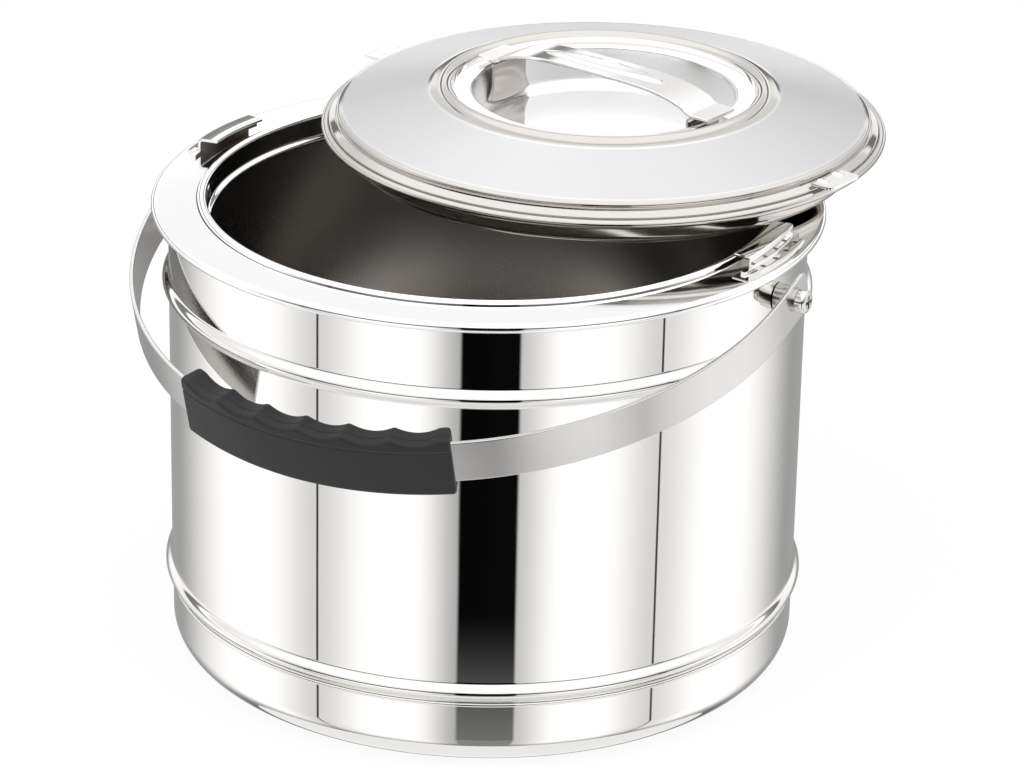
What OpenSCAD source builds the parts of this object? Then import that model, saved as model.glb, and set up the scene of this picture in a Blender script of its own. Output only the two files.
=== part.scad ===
// Insulated round casserole: a double-walled steel pot with a swinging bail, and a lift-off lid
// with two locking wings. Millimetres, +Z up, origin at the centre of the flat base.
// +X runs along the bail's pivots and the two lid catches. The bail is drawn lowered towards -Y,
// and the lid is drawn lying flat on the rim, pushed back towards +Y.

/* [Pot] */
// Outer diameter of the outer shell
body_d = 266; // [258:1:280]
// Height of the pot, from the base to the top of the rim seam
body_h = 200; // [180:1:230]
// Thickness of the pot's steel sheets
sheet_t = 0.8; // [0.6:0.1:1]
// Inner diameter of the bowl
bowl_d = 230; // [222:1:234]
// Insulation under the bowl, from the base to the bowl's floor
bowl_floor = 27; // [18:1:40]
// Corner radius inside the bowl
bowl_corner_r = 20; // [10:1:30]
// Depth of the wider neck at the top of the bowl
neck_depth = 11.4; // [9:0.2:16]
// How far the neck steps out from the bowl's wall
neck_step = 2; // [1:0.5:3]
// Radius of the rounded bottom edge
base_edge_r = 13; // [6:1:18]
// Depth of the joint between the base pan and the shell
pan_joint = 13; // [8:1:20]

/* [Rim] */
// How far the rim ring stands out past the shell
ring_overhang = 7; // [5:0.5:10]
// Radius of the ring's rolled outer edge
ring_roll_r = 2; // [1.6:0.1:2.5]
// Radius of the seam bead between the ring and the bowl
seam_r = 2; // [1.6:0.1:2.4]
// Depth of the ring's skirt inside the shell
ring_skirt = 4; // [3:0.5:6]

/* [Beads] */
// Radius of the pressed beads round the shell
bead_r = 3.7; // [2.6:0.1:4]
// Height of the lower bead above the base
lower_bead_z = 35; // [32:1:60]
// Depth of the upper bead below the top of the pot
upper_bead_drop = 36.2; // [34:0.2:70]

/* [Catches] */
// Angle that a catch spans round the rim
catch_span = 17.2; // [14:0.2:24]
// Sheet thickness of a catch
catch_t = 1.2; // [1:0.1:1.5]
// Gap between the catch's flange and the ring's rolled edge
catch_margin = 1.8; // [1:0.1:4]
// Clear height of a catch's slot at its middle
slot_h = 5.1; // [4.8:0.1:8]
// Slope of the lip that draws the lid down, in degrees
catch_ramp = 2.2; // [1:0.1:2.5]
// Depth of the lip over the slot
lip_depth = 7.7; // [6:0.1:9]
// Width of the welded flange outside the riser
catch_flange = 5; // [4:0.2:6]
// Diameter of a spot weld's dimple
weld_d = 2; // [1:0.5:3]
// Number of spot welds on a catch
weld_count = 4; // [2:1:5]

/* [Bail] */
// Depth of the pivots below the top of the pot
pivot_drop = 19; // [17:0.5:22]
// Width of the bail's strap
strap_w = 18.6; // [14:0.2:22]
// Thickness of the bail's strap
strap_t = 1.8; // [1.5:0.1:2.5]
// Gap between the rim ring and the strap at the pivots
strap_gap = 0.6; // [0.5:0.1:2]
// Length of the strap's straight sides past the pivots
strap_side = 13.5; // [8:0.5:40]
// How far the strap's ends run behind the pivots
strap_tail = 9; // [8:0.5:14]
// Corner radius of the strap's ends
strap_corner_r = 4; // [2:0.5:6]
// Angle of the lowered bail below the horizontal
bail_dip = 15; // [5:1:17]
// Outer diameter of the pivot bush
bush_d = 11.7; // [9:0.1:14]
// Diameter of the pivot screw's shank
shank_d = 5; // [4:0.5:6]
// Diameter of the pivot screw's head
head_d = 10; // [9:0.5:12]
// Height of the pivot screw's head
head_h = 2.7; // [2.2:0.1:4]
// Diameter of the pivot washer
washer_d = 9.4; // [8:0.2:12]
// Thickness of the pivot washer
washer_t = 1.6; // [1:0.1:2]

/* [Grip] */
// Half of the angle that the grip spans along the strap
grip_half = 25; // [20:1:35]
// How far the grip stands out from the strap's outer face
grip_out = 3.2; // [2.4:0.1:6]
// How far the grip stands in from the strap's inner face
grip_in = 5.5; // [4:0.1:7]
// How far the grip reaches below the strap's lower edge
grip_below = 4.8; // [3:0.1:7]
// Height of the grip's finger crests above the strap's upper edge
grip_crest = 3.6; // [3:0.1:5]
// Depth of the finger hollows between the crests
finger_depth = 2.6; // [1:0.1:3]
// Number of finger hollows
finger_count = 6; // [4:1:7]
// Corner radius of the grip's section
grip_corner_r = 2; // [1:0.1:2.4]
// Shank diameter of the grip's screws
grip_screw_d = 3; // [2.5:0.1:3.5]

/* [Lid] */
// How far the lid's rolled flange reaches past the bowl's neck
lid_overhang = 2.5; // [2:0.1:4]
// Gap between the plug and the bowl's wall
plug_gap = 7.5; // [5:0.5:12]
// Depth of the plug below the flange
plug_h = 11; // [8:0.5:14]
// Thickness of the lid's sheets
lid_t = 0.8; // [0.6:0.1:1]
// Radius of the flange's rolled edge
flange_roll_r = 1.9; // [1.7:0.1:2.2]
// Width of the stepped rim outside the conical top
rim_w = 6.2; // [6:0.1:9]
// Height of the stepped rim, from the flange to the edge of the top
rim_h = 9.6; // [9:0.1:11]
// Rise of the conical top, from its edge to the raised bead
cone_rise = 8.8; // [4:0.2:14]
// Width of the slope from the raised bead down to the conical top
bead_slope_w = 3; // [2:0.1:5]
// Height of the raised bead round the recess
lid_bead_h = 3.2; // [2.4:0.1:4]
// Inner diameter of the recess
recess_d = 111; // [90:1:120]
// Width of the ledge round the recess
ledge_w = 8.7; // [8:0.1:14]
// Height of the recess floor above the bottom of the plug
recess_floor = 12; // [10:0.5:18]
// Radius of the corner at the recess floor
recess_corner_r = 4; // [2:0.5:9]
// Slope of the recess wall, in degrees
recess_slope = 84; // [60:1:86]
// How far back the lid lies from the pot's axis
lid_back = 65; // [55:1:66]
// How far sideways the lid lies from the pot's axis
lid_side = 19.6; // [0:0.2:20]
// Turn of the lid's handle away from the X axis
lid_turn = -10.5; // [-12:0.5:12]
// Gap under the lid where it lies on the rim
lid_gap = 0.3; // [0.2:0.1:0.5]

/* [Lid handle] */
// Width of the handle's strap
handle_w = 20; // [16:0.5:24]
// Thickness of the handle's strap
handle_t = 1.5; // [1.2:0.1:2]
// Height of the handle's end tabs above the ledge
tab_lift = 1.9; // [1:0.1:4]
// Height of the bow above the end tabs
handle_rise = 7.1; // [6:0.1:14]
// How far the handle's end tabs reach onto the ledge
tab_reach = 6; // [4:0.2:7]
// Length of each flat end tab
tab_len = 10; // [8:0.5:11]
// Length of the pressed rib along the handle
rib_len = 58; // [40:1:64]
// Width of the pressed rib
rib_w = 9; // [6:0.5:12]
// Height of the pressed rib
rib_h = 1; // [0.6:0.1:1.5]
// Width of a handle bracket at its top
bracket_top_w = 22; // [18:0.5:24]
// Width of a handle bracket at its foot
bracket_foot_w = 28; // [22:0.5:30]
// Thickness of a handle bracket
bracket_t = 1.2; // [1:0.1:1.5]
// Distance from a handle bracket to the edge of the recess
bracket_in = 3.3; // [3:0.1:6]

/* [Lid wings] */
// Width of a wing
wing_w = 21; // [16:0.5:24]
// Reach of a wing past the flange's edge
wing_reach = 5.5; // [4:0.1:9]
// Distance from a wing's inner edge to the flange's edge
wing_seat = 4.9; // [4:0.1:5.4]
// Thickness of a wing
wing_t = 1.2; // [1:0.1:1.4]
// Width of a rib pressed on a wing
wing_rib_w = 3; // [2:0.5:4]
// Height of a rib pressed on a wing
wing_rib_h = 0.8; // [0.5:0.1:1]
// Corner radius of a wing's tip
wing_corner_r = 2.5; // [1:0.5:4]
// Gap between a wing and the stepped rim under it
wing_gap = 0.3; // [0.2:0.1:0.5]

/* [Hidden] */
$fn = 96;

// Clearances and small details
fit = 0.3;            // gap between parts that lie against each other
running = 0.08;       // radial clearance of the bail's holes on the screws
shank_gap = 0.2;      // radial clearance of a shank in a plain hole
eps = 0.01;
foam_gap = 0.3;       // gap round the foam fillings
inside_r = 1.5;       // edge radius of a fold in the lid's sheet
steel = [0.82, 0.83, 0.85];
dark_plastic = [0.2, 0.2, 0.21];
foam_yellow = [0.93, 0.86, 0.62];

// Radii and heights of the pot
body_r = body_d / 2;
bowl_r = bowl_d / 2;
neck_r = bowl_r + neck_step;
ring_r = body_r + ring_overhang;
seam_c = [neck_r + seam_r, body_h - seam_r];
ring_top = seam_c[1];
ring_inner_r = neck_r + 2 * seam_r + fit;
ring_under = ring_top - 2 * ring_roll_r;
spigot_r = body_r - sheet_t - fit / 2;
upper_bead_z = body_h - upper_bead_drop;
bead_angle = 75;
pan_top = lower_bead_z - bead_r - sheet_t;
pan_r = body_r - fit;
pan_lip_r = 0.9;

// Bail
pivot_z = body_h - pivot_drop;
strap_in = ring_r + strap_gap;
strap_out = strap_in + strap_t;
bush_foot = body_r + fit;
bush_end = strap_in - fit;
washer_x = strap_out + fit / 2;
head_x = washer_x + washer_t;
plate_w = 24;
plate_h = 13;
plate_t = 1.5;
plate_x = sqrt(pow(body_r - sheet_t, 2) - pow(plate_w / 2, 2)) - fit / 2;
nut_af = 8;
nut_h = 4;
nut_x = plate_x - plate_t - nut_h;
shank_end = nut_x - 1;

// Grip
grip_low = -strap_w / 2 - grip_below;
grip_top = strap_w / 2 + grip_crest;
split_r = strap_in + strap_t / 2;
grip_mid_r = split_r;
finger_angle = 2 * grip_half / (finger_count + 0.4);
finger_chord = 2 * grip_mid_r * sin(finger_angle / 2);
finger_r = (pow(finger_chord / 2, 2) + pow(finger_depth, 2)) / (2 * finger_depth);
grip_screw_at = grip_half - 6;
grip_head_d = 2 * grip_screw_d;
grip_head_h = 1.8;

// Lid, in its own frame: origin at the centre of the plug's bottom
lid_r = neck_r + lid_overhang;
plug_r = bowl_r - plug_gap;
top_edge_r = lid_r - rim_w;
roll_c = [lid_r - flange_roll_r, plug_h + flange_roll_r];
rim_top = plug_h + rim_h;
foot_h = rim_top + cone_rise;
crest_h = foot_h + lid_bead_h;
ledge_h = foot_h - lid_t;
recess_r = recess_d / 2;
lip_c = [recess_r + inside_r, ledge_h - inside_r];
wall_top = lip_c + inside_r * [-sin(recess_slope), cos(recess_slope)];
wall_run = (recess_floor + recess_corner_r * (1 - cos(recess_slope)) - wall_top[1]) / sin(recess_slope);
dish_c = [wall_top[0] + wall_run * cos(recess_slope) - recess_corner_r * sin(recess_slope),
          recess_floor + recess_corner_r];
bead_w = 2 * lid_bead_h + 0.4;
bead_in_r = recess_r + ledge_w;
foot_r = bead_in_r + bead_w + bead_slope_w;
handle_half = recess_r + tab_reach;
cover_under = plug_h + lid_t;
liner_flange = cover_under + fit / 2;
wing_in = lid_r - wing_seat;
wing_tip = lid_r + wing_reach;
step_out = [lid_r - 3.3, roll_c[1] + 2.4];
step_in = [top_edge_r + 0.6, rim_top - 3.8];
wing_low = wing_gap + step_in[1]
  + (step_out[1] - step_in[1]) * (wing_in - step_in[0]) / (step_out[0] - step_in[0]);
handle_z = ledge_h + tab_lift;
lid_z = body_h + lid_gap;

// Catches and wings
riser_in = ring_r - ring_roll_r - catch_margin - catch_flange - catch_t;
lip_in = riser_in - lip_depth;
slot_top = ring_top + slot_h;

// ---- Shapes ----

function arc(c, r, a0, a1, n = 8) =
  [for (i = [0:n]) c + r * [cos(a0 + (a1 - a0) * i / n), sin(a0 + (a1 - a0) * i / n)]];
function unit(v) = v / norm(v);
function right_of(a, b) = let (d = unit(b - a)) [d[1], -d[0]];
// Point i of path p moved by t to the path's right-hand side
function beside(p, i, t) =
  let (last = len(p) - 1,
       a = i > 0 ? right_of(p[i - 1], p[i]) : right_of(p[0], p[1]),
       b = i < last ? right_of(p[i], p[i + 1]) : right_of(p[last - 1], p[last]))
  p[i] + t * (a + b) / (1 + a * b);

// A sheet of thickness t on the right-hand side of path p
module sheet(p, t)
  polygon(concat(p, [for (i = [len(p) - 1:-1:0]) beside(p, i, t)]));

module spun(p, t)
  rotate_extrude($fn = 180) sheet(p, t);

module rounded(x0, x1, y0, y1, r) {
  translate([x0 + r, y0]) square([x1 - x0 - 2 * r, y1 - y0]);
  translate([x0, y0 + r]) square([x1 - x0, y1 - y0 - 2 * r]);
  for (x = [x0 + r, x1 - r], y = [y0 + r, y1 - r])
    translate([x, y]) circle(r, $fn = 32);
}

module along_x(x, d, h, fn = 48)
  translate([x, 0, 0]) rotate([0, 90, 0]) cylinder(d = d, h = h, $fn = fn);

module at_pivot() translate([0, 0, pivot_z]) children();
module other_side() rotate([0, 0, 180]) children();
module bail_frame() translate([0, 0, pivot_z]) rotate([bail_dip, 0, 0]) children();
module lid_frame() translate([lid_side, lid_back, lid_z]) rotate([0, 0, lid_turn]) children();

// ---- Pot ----

function bead(z) = arc([body_r - bead_r * cos(bead_angle), z], bead_r, bead_angle, -bead_angle, 12);

module outer_shell() {
  path = concat([[body_r, ring_under]], bead(upper_bead_z), bead(lower_bead_z),
                [[body_r, pan_top]]);
  color(steel) difference() {
    spun(path, sheet_t);
    for (side = [0, 180]) rotate([0, 0, side]) at_pivot()
      along_x(body_r - bead_r, shank_d + 2 * shank_gap, 2 * bead_r);
  }
}

module base_pan() {
  path = concat([[spigot_r, pan_top + pan_joint], [spigot_r, pan_top],
                 [pan_r, pan_top - (pan_r - spigot_r) - sheet_t]],
                arc([pan_r - base_edge_r, base_edge_r], base_edge_r, 0, -90, 12), [[0, 0]]);
  color(steel) {
    spun(path, sheet_t);
    rotate_extrude($fn = 180) translate([pan_r, pan_top - fit - 2 * pan_lip_r])
      translate([0, pan_lip_r]) circle(pan_lip_r, $fn = 24);
  }
}

module rim_ring() {
  path = concat([[ring_inner_r, ring_top]],
                arc([ring_r - ring_roll_r, ring_top - ring_roll_r], ring_roll_r, 90, -90, 12),
                [[spigot_r, ring_under], [spigot_r, ring_under - ring_skirt]]);
  color(steel) spun(path, sheet_t);
}

module inner_bowl() {
  path = concat([[0, bowl_floor]],
                arc([bowl_r - bowl_corner_r, bowl_floor + bowl_corner_r], bowl_corner_r, -90, 0, 12),
                [[bowl_r, body_h - neck_depth], [neck_r, body_h - neck_depth + neck_step]],
                arc(seam_c, seam_r, 180, -40, 14));
  color(steel) spun(path, sheet_t);
}

module foam_pocket() {
  deep = body_r - shank_end + 2 * fit;
  translate([body_r - deep, -plate_w / 2 - fit, -plate_h / 2 - fit])
    cube([deep, plate_w + 2 * fit, plate_h + 2 * fit]);
}

module body_insulation() {
  gap = sheet_t + foam_gap;
  foam_r = spigot_r - gap;
  edge_r = foam_r - (pan_r - base_edge_r);
  step_z = body_h - neck_depth - gap;
  top_z = seam_c[1] - seam_r - foam_gap;
  profile = concat([[0, gap]],
                   arc([pan_r - base_edge_r, gap + edge_r], edge_r, -90, 0, 8),
                   [[foam_r, top_z], [neck_r + gap, top_z], [neck_r + gap, step_z],
                    [bowl_r + gap, step_z]],
                   arc([bowl_r - bowl_corner_r, bowl_floor + bowl_corner_r], bowl_corner_r + gap,
                       0, -90, 8),
                   [[0, bowl_floor - gap]]);
  color(foam_yellow) difference() {
    rotate_extrude($fn = 120) polygon(profile);
    for (side = [0, 180]) rotate([0, 0, side]) at_pivot() foam_pocket();
  }
}

// ---- Catches ----

module ring_part(r0, r1, z0, z1, a0, a1)
  rotate([0, 0, a0]) rotate_extrude(angle = a1 - a0, $fn = 180)
    translate([r0, z0]) square([r1 - r0, z1 - z0]);

module catch() {
  half = catch_span / 2;
  riser_out = riser_in + catch_t;
  flange_out = riser_out + catch_flange;
  weld_r = riser_out + catch_flange / 2;
  foot = 2.4;
  color(steel) difference() {
    union() {
      ring_part(lip_in, riser_out, ring_top, slot_top + 2 * catch_t, -half, half);
      ring_part(riser_in, flange_out, ring_top, ring_top + catch_t, -half, half);
      ring_part(riser_in, riser_out + catch_t, ring_top, ring_top + catch_t, -half - foot, half + foot);
    }
    translate([0, 0, slot_top]) rotate([catch_ramp, 0, 0])
      translate([0, -ring_r, catch_t]) cube([2 * ring_r, 2 * ring_r, slot_h]);
    intersection() {
      ring_part(lip_in - 1, riser_in, ring_top - 1, slot_top + slot_h, -half - 1, half + 1);
      translate([0, 0, slot_top]) rotate([catch_ramp, 0, 0])
        translate([0, -ring_r, -2 * slot_h]) cube([2 * ring_r, 2 * ring_r, 2 * slot_h]);
    }
    for (i = [0:weld_count - 1])
      rotate([0, 0, -half + catch_span * (i + 0.5) / weld_count])
        translate([weld_r, 0, ring_top + 0.7 * catch_t]) cylinder(d = weld_d, h = catch_t, $fn = 24);
  }
}

module catch_right() catch();
module catch_left() other_side() catch();

// ---- Pivots ----

module pivot_bush() at_pivot()
  color(steel) difference() {
    along_x(bush_foot, bush_d, bush_end - bush_foot, 64);
    along_x(bush_foot - eps, shank_d + 2 * shank_gap, bush_end - bush_foot + 2 * eps);
  }

module pivot_washer() at_pivot()
  color(steel) difference() {
    along_x(washer_x, washer_d, washer_t);
    along_x(washer_x - eps, shank_d + 2 * shank_gap, washer_t + 2 * eps);
  }

// A pan head with a cross recess, on a shank that ends past the nut
module pivot_screw() at_pivot() {
  dome = 0.9;
  slot_w = 1.4;
  slot_l = 0.55 * head_d;
  color(steel) difference() {
    union() {
      along_x(shank_end, shank_d, head_x - shank_end + eps);
      translate([head_x, 0, 0]) rotate([0, 90, 0]) rotate_extrude($fn = 64)
        polygon(concat([[0, 0], [head_d / 2, 0], [head_d / 2, head_h - 2 * dome]],
                       arc([head_d / 2 - 2 * dome, head_h - 2 * dome], 2 * dome, 20, 90, 6),
                       [[0, head_h]]));
    }
    for (turn = [0, 90]) translate([head_x + head_h / 2, 0, 0]) rotate([turn, 0, 0])
      translate([0, -slot_l / 2, -slot_w / 2]) cube([head_h, slot_l, slot_w]);
  }
}

module backing_plate() at_pivot()
  color(steel) difference() {
    translate([plate_x - plate_t, -plate_w / 2, -plate_h / 2]) cube([plate_t, plate_w, plate_h]);
    along_x(plate_x - plate_t - eps, shank_d + 2 * shank_gap, plate_t + 2 * eps);
  }

module lock_nut() at_pivot()
  color(steel) difference() {
    along_x(nut_x, nut_af / cos(30), nut_h, 6);
    along_x(nut_x - eps, shank_d + running, nut_h + 2 * eps);
  }

module pivot_bush_right() pivot_bush();
module pivot_bush_left() other_side() pivot_bush();
module pivot_washer_right() pivot_washer();
module pivot_washer_left() other_side() pivot_washer();
module pivot_screw_right() pivot_screw();
module pivot_screw_left() other_side() pivot_screw();
module backing_plate_right() backing_plate();
module backing_plate_left() other_side() backing_plate();
module lock_nut_right() lock_nut();
module lock_nut_left() other_side() lock_nut();

// ---- Bail ----

// One straight side of the strap, with its rounded end and its pivot hole
module strap_end() {
  hole_d = shank_d + 2 * running;
  difference() {
    translate([strap_in, 0, 0]) rotate([90, 0, 90]) linear_extrude(strap_t) {
      rounded(-strap_side, strap_tail, -strap_w / 2, strap_w / 2, strap_corner_r);
      translate([-strap_side, -strap_w / 2]) square([strap_side / 2, strap_w]);
    }
    along_x(strap_in - eps, hole_d, strap_t + 2 * eps);
  }
}

// The strap's centre half turn, from -X round by -Y to +X
module bail_sweep(a0, a1) translate([0, -strap_side, 0]) rotate([0, 0, a0])
  rotate_extrude(angle = a1 - a0, $fn = 180) children();

module grip_screw_holes(d) for (s = [-1, 1]) translate([0, -strap_side, 0])
  rotate([0, 0, -90 + s * grip_screw_at]) along_x(strap_in - grip_in - eps, d, grip_in + strap_t + 2 * eps);

module bail_strap() bail_frame() color(steel) difference() {
  union() {
    strap_end();
    mirror([1, 0, 0]) strap_end();
    bail_sweep(-180, 0) translate([strap_in, -strap_w / 2]) square([strap_t, strap_w]);
  }
  grip_screw_holes(grip_screw_d + 2 * shank_gap);
}

// Hollows for the fingers, cut down into the grip's upper edge
module finger_hollows(r0, r1)
  for (i = [0:finger_count - 1])
    translate([0, -strap_side, grip_top - finger_depth + finger_r])
      rotate([0, 0, -90 + finger_angle * (i - (finger_count - 1) / 2)])
        along_x(r0, 2 * finger_r, r1 - r0, 96);

module grip_body(r0, r1)
  difference() {
    bail_sweep(-90 - grip_half, -90 + grip_half) difference() {
      intersection() {
        rounded(strap_in - grip_in, strap_out + grip_out, grip_low, grip_top, grip_corner_r);
        translate([r0, grip_low]) square([r1 - r0, grip_top - grip_low]);
      }
      translate([strap_in - fit / 2, -strap_w / 2 - fit / 2]) square([strap_t + fit, strap_w + fit]);
    }
    finger_hollows(r0 - 1, r1 + 1);
  }

module grip_outer() bail_frame() color(dark_plastic) difference() {
  grip_body(split_r + fit / 4, strap_out + grip_out);
  grip_screw_pilots();
}

module grip_inner() bail_frame() color(dark_plastic) difference() {
  grip_body(strap_in - grip_in, split_r - fit / 4);
  grip_screw_holes(grip_screw_d + 2 * shank_gap);
  for (s = [-1, 1]) translate([0, -strap_side, 0]) rotate([0, 0, -90 + s * grip_screw_at])
    along_x(strap_in - grip_in - 1, grip_head_d + 2 * shank_gap, 1 + grip_head_h + fit);
}

grip_thread = 2;
module grip_screw_pilots() for (s = [-1, 1]) translate([0, -strap_side, 0])
  rotate([0, 0, -90 + s * grip_screw_at])
    along_x(split_r, grip_screw_d + running, strap_out + grip_thread + fit / 2 - split_r);

module grip_screws() bail_frame() color(steel)
  for (s = [-1, 1]) translate([0, -strap_side, 0]) rotate([0, 0, -90 + s * grip_screw_at]) {
    along_x(strap_in - grip_in + fit, grip_head_d, grip_head_h);
    along_x(strap_in - grip_in + fit, grip_screw_d, strap_out + grip_thread - strap_in + grip_in - fit);
  }

// ---- Lid ----

function recess_path() = concat(
  [[0, recess_floor]],
  arc(dish_c, recess_corner_r, -90, recess_slope - 90, 8),
  arc(lip_c, inside_r, 90 + recess_slope, 90, 5));
// Height of the recess's surface at radius r
function dish(r) = let (out = dish_c[0] + recess_corner_r * sin(recess_slope))
  r < dish_c[0] ? recess_floor
  : r < out ? dish_c[1] - sqrt(pow(recess_corner_r, 2) - pow(r - dish_c[0], 2))
  : wall_top[1] + (r - wall_top[0]) * tan(recess_slope);
function bead_path() = concat(
  [[bead_in_r - 1, ledge_h]],
  arc([bead_in_r + bead_w / 2, crest_h - bead_w / 2], bead_w / 2, 165, 20, 10),
  [[foot_r, foot_h]]);
function rim_path() = concat(
  arc([top_edge_r - inside_r, rim_top - inside_r], inside_r, 75, -35, 6),
  [[top_edge_r - 0.9, rim_top - 3.2], step_in, step_out, step_out - [0.6, 0.8]],
  arc(roll_c, flange_roll_r, 125, -90, 12),
  [[plug_r + 1.5, plug_h]]);

module lid_cover() lid_frame() color(steel)
  spun(concat(recess_path(), bead_path(), rim_path()), lid_t);

module lid_liner() lid_frame() color(steel)
  spun(concat([[roll_c[0], liner_flange], [plug_r, liner_flange]],
              arc([plug_r - 3.5, 3.5], 3.5, 0, -90, 8), [[0, 0]]), lid_t);

module lid_insulation() {
  gap = lid_t + foam_gap;
  in_r = plug_r - gap;
  shoulder = liner_flange + gap;
  rp = recess_path();
  lid_frame() color(foam_yellow) rotate_extrude($fn = 120)
    polygon(concat([[0, gap], [in_r - 3, gap], [in_r, gap + 3], [in_r, shoulder],
                    [top_edge_r - 3, shoulder], [top_edge_r - 3, rim_top - 2 * gap],
                    [foot_r, foot_h - 1.2 * gap], [recess_r + 5 * gap, ledge_h - 1.2 * gap]],
                   [for (i = [len(rp) - 1:-1:0]) beside(rp, i, gap)]));
}

// The handle's bow: height of the strap's lower face above its end tabs
bow_in = handle_half - tab_len;
function bow(x) = handle_rise * (1 - pow(abs(x) / bow_in, 4) * 0.92);
function bow_path() = concat(
  [[-handle_half, 0], [-bow_in - 0.6, 0]],
  [for (i = [-11:11]) let (x = bow_in * i / 12) [x, bow(x)]],
  [[bow_in + 0.6, 0], [handle_half, 0]]);

module lid_handle() lid_frame() color(steel) translate([0, 0, handle_z]) {
  rotate([90, 0, 0]) translate([0, 0, -handle_w / 2]) linear_extrude(handle_w)
    sheet(bow_path(), -handle_t);
  intersection() {
    rotate([90, 0, 0]) translate([0, 0, -rib_w / 2]) linear_extrude(rib_w)
      sheet(bow_path(), -handle_t - rib_h);
    union() {
      translate([-rib_len / 2 + rib_w / 2, -rib_w / 2, 0])
        cube([rib_len - rib_w, rib_w, 2 * handle_rise]);
      for (s = [-1, 1]) translate([s * (rib_len - rib_w) / 2, 0, 0])
        cylinder(d = rib_w, h = 2 * handle_rise, $fn = 48);
    }
  }
}

// A flared leg from the handle's end tab down to the recess, cut to the recess's shape
module handle_bracket() {
  x = recess_r - bracket_in - bracket_t;
  top = handle_z - fit;
  foot = bracket_foot_w / 2;
  foot_z = dish(norm([x + bracket_t, foot])) + fit;
  steps = 8;
  lid_frame() color(steel) translate([x, 0, 0]) rotate([90, 0, 90]) linear_extrude(bracket_t)
    polygon(concat(
      [for (i = [-steps:steps]) let (y = foot * i / steps)
        [y, dish(norm([x + bracket_t, y])) + fit]],
      [[bracket_top_w / 2, foot_z + 0.5 * (top - foot_z)], [bracket_top_w / 2, top],
       [-bracket_top_w / 2, top], [-bracket_top_w / 2, foot_z + 0.5 * (top - foot_z)]]));
}

module handle_bracket_right() handle_bracket();
module handle_bracket_left()
  translate([lid_side, lid_back, 0]) other_side() translate([-lid_side, -lid_back, 0])
    handle_bracket();

// A wing lies on the stepped rim and reaches out over the flange's roll
module lid_wing() lid_frame() color(steel) {
  translate([0, 0, wing_low]) linear_extrude(wing_t) {
    rounded(wing_in, wing_tip, -wing_w / 2, wing_w / 2, wing_corner_r);
    translate([wing_in, -wing_w / 2]) square([(wing_tip - wing_in) / 2, wing_w]);
  }
  for (s = [-1, 1])
    translate([wing_in, s * wing_w / 4 - wing_rib_w / 2, wing_low + wing_t / 2])
      cube([lid_r - wing_in, wing_rib_w, wing_t / 2 + wing_rib_h]);
}

module lid_wing_right() lid_wing();
module lid_wing_left()
  translate([lid_side, lid_back, 0]) other_side() translate([-lid_side, -lid_back, 0])
    lid_wing();

outer_shell();
base_pan();
rim_ring();
inner_bowl();
body_insulation();
catch_left();
catch_right();
pivot_bush_left();
pivot_bush_right();
pivot_screw_left();
pivot_screw_right();
pivot_washer_left();
pivot_washer_right();
backing_plate_left();
backing_plate_right();
lock_nut_left();
lock_nut_right();
bail_strap();
grip_outer();
grip_inner();
grip_screws();
lid_cover();
lid_liner();
lid_insulation();
lid_handle();
handle_bracket_left();
handle_bracket_right();
lid_wing_left();
lid_wing_right();
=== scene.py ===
import math
import bmesh
import bpy
from mathutils import Matrix, Vector


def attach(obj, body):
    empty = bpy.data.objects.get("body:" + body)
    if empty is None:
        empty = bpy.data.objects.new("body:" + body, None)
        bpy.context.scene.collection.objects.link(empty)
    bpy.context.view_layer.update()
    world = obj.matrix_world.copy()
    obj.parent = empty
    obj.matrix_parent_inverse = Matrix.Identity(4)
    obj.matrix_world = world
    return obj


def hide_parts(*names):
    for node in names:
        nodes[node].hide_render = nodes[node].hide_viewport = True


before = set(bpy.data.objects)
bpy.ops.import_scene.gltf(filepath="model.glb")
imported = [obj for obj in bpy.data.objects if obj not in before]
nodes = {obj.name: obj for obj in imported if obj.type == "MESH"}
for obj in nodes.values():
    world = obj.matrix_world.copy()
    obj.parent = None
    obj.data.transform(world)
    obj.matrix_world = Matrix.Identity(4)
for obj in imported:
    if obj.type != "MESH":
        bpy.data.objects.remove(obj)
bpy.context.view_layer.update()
scene = bpy.context.scene

# Sizes in millimetres and angles in degrees, as in the part's source
sheetThick = 0.8
lid = dict(x=19.6, y=65.0, z=200.3, turn=-10.5)
bail = dict(pivot=181.0, dip=15.0, side=13.5, tail=9.0, inner=140.6, thick=1.8, width=18.6)


# A node's socket; an expression on it adds the maths nodes
class Val:
    def __init__(self, tree, socket):
        self.tree, self.socket = tree, socket

    def node(self, kind, *inputs, **settings):
        return make(self.tree, kind, self, *inputs, **settings)

    def maths(self, operation, *others):
        return self.node("ShaderNodeMath", *others, operation=operation)

    def __add__(self, other):
        return self.maths("ADD", other)

    __radd__ = __add__

    def __mul__(self, other):
        return self.maths("MULTIPLY", other)

    __rmul__ = __mul__

    def __sub__(self, other):
        return self.maths("SUBTRACT", other)

    def __rsub__(self, other):
        return make(self.tree, "ShaderNodeMath", other, self, operation="SUBTRACT")

    def clamp(self):
        return self.maths("MAXIMUM", 0.0).maths("MINIMUM", 1.0)

    # 0 below a, 1 above b, smooth between
    def step(self, a, b):
        return self.node("ShaderNodeMapRange", a, b, 0.0, 1.0, interpolation_type="SMOOTHSTEP")

    # 1 from b to c, 0 outside a to d
    def band(self, a, b, c, d):
        return self.step(a, b) * (1 - self.step(c, d))


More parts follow.
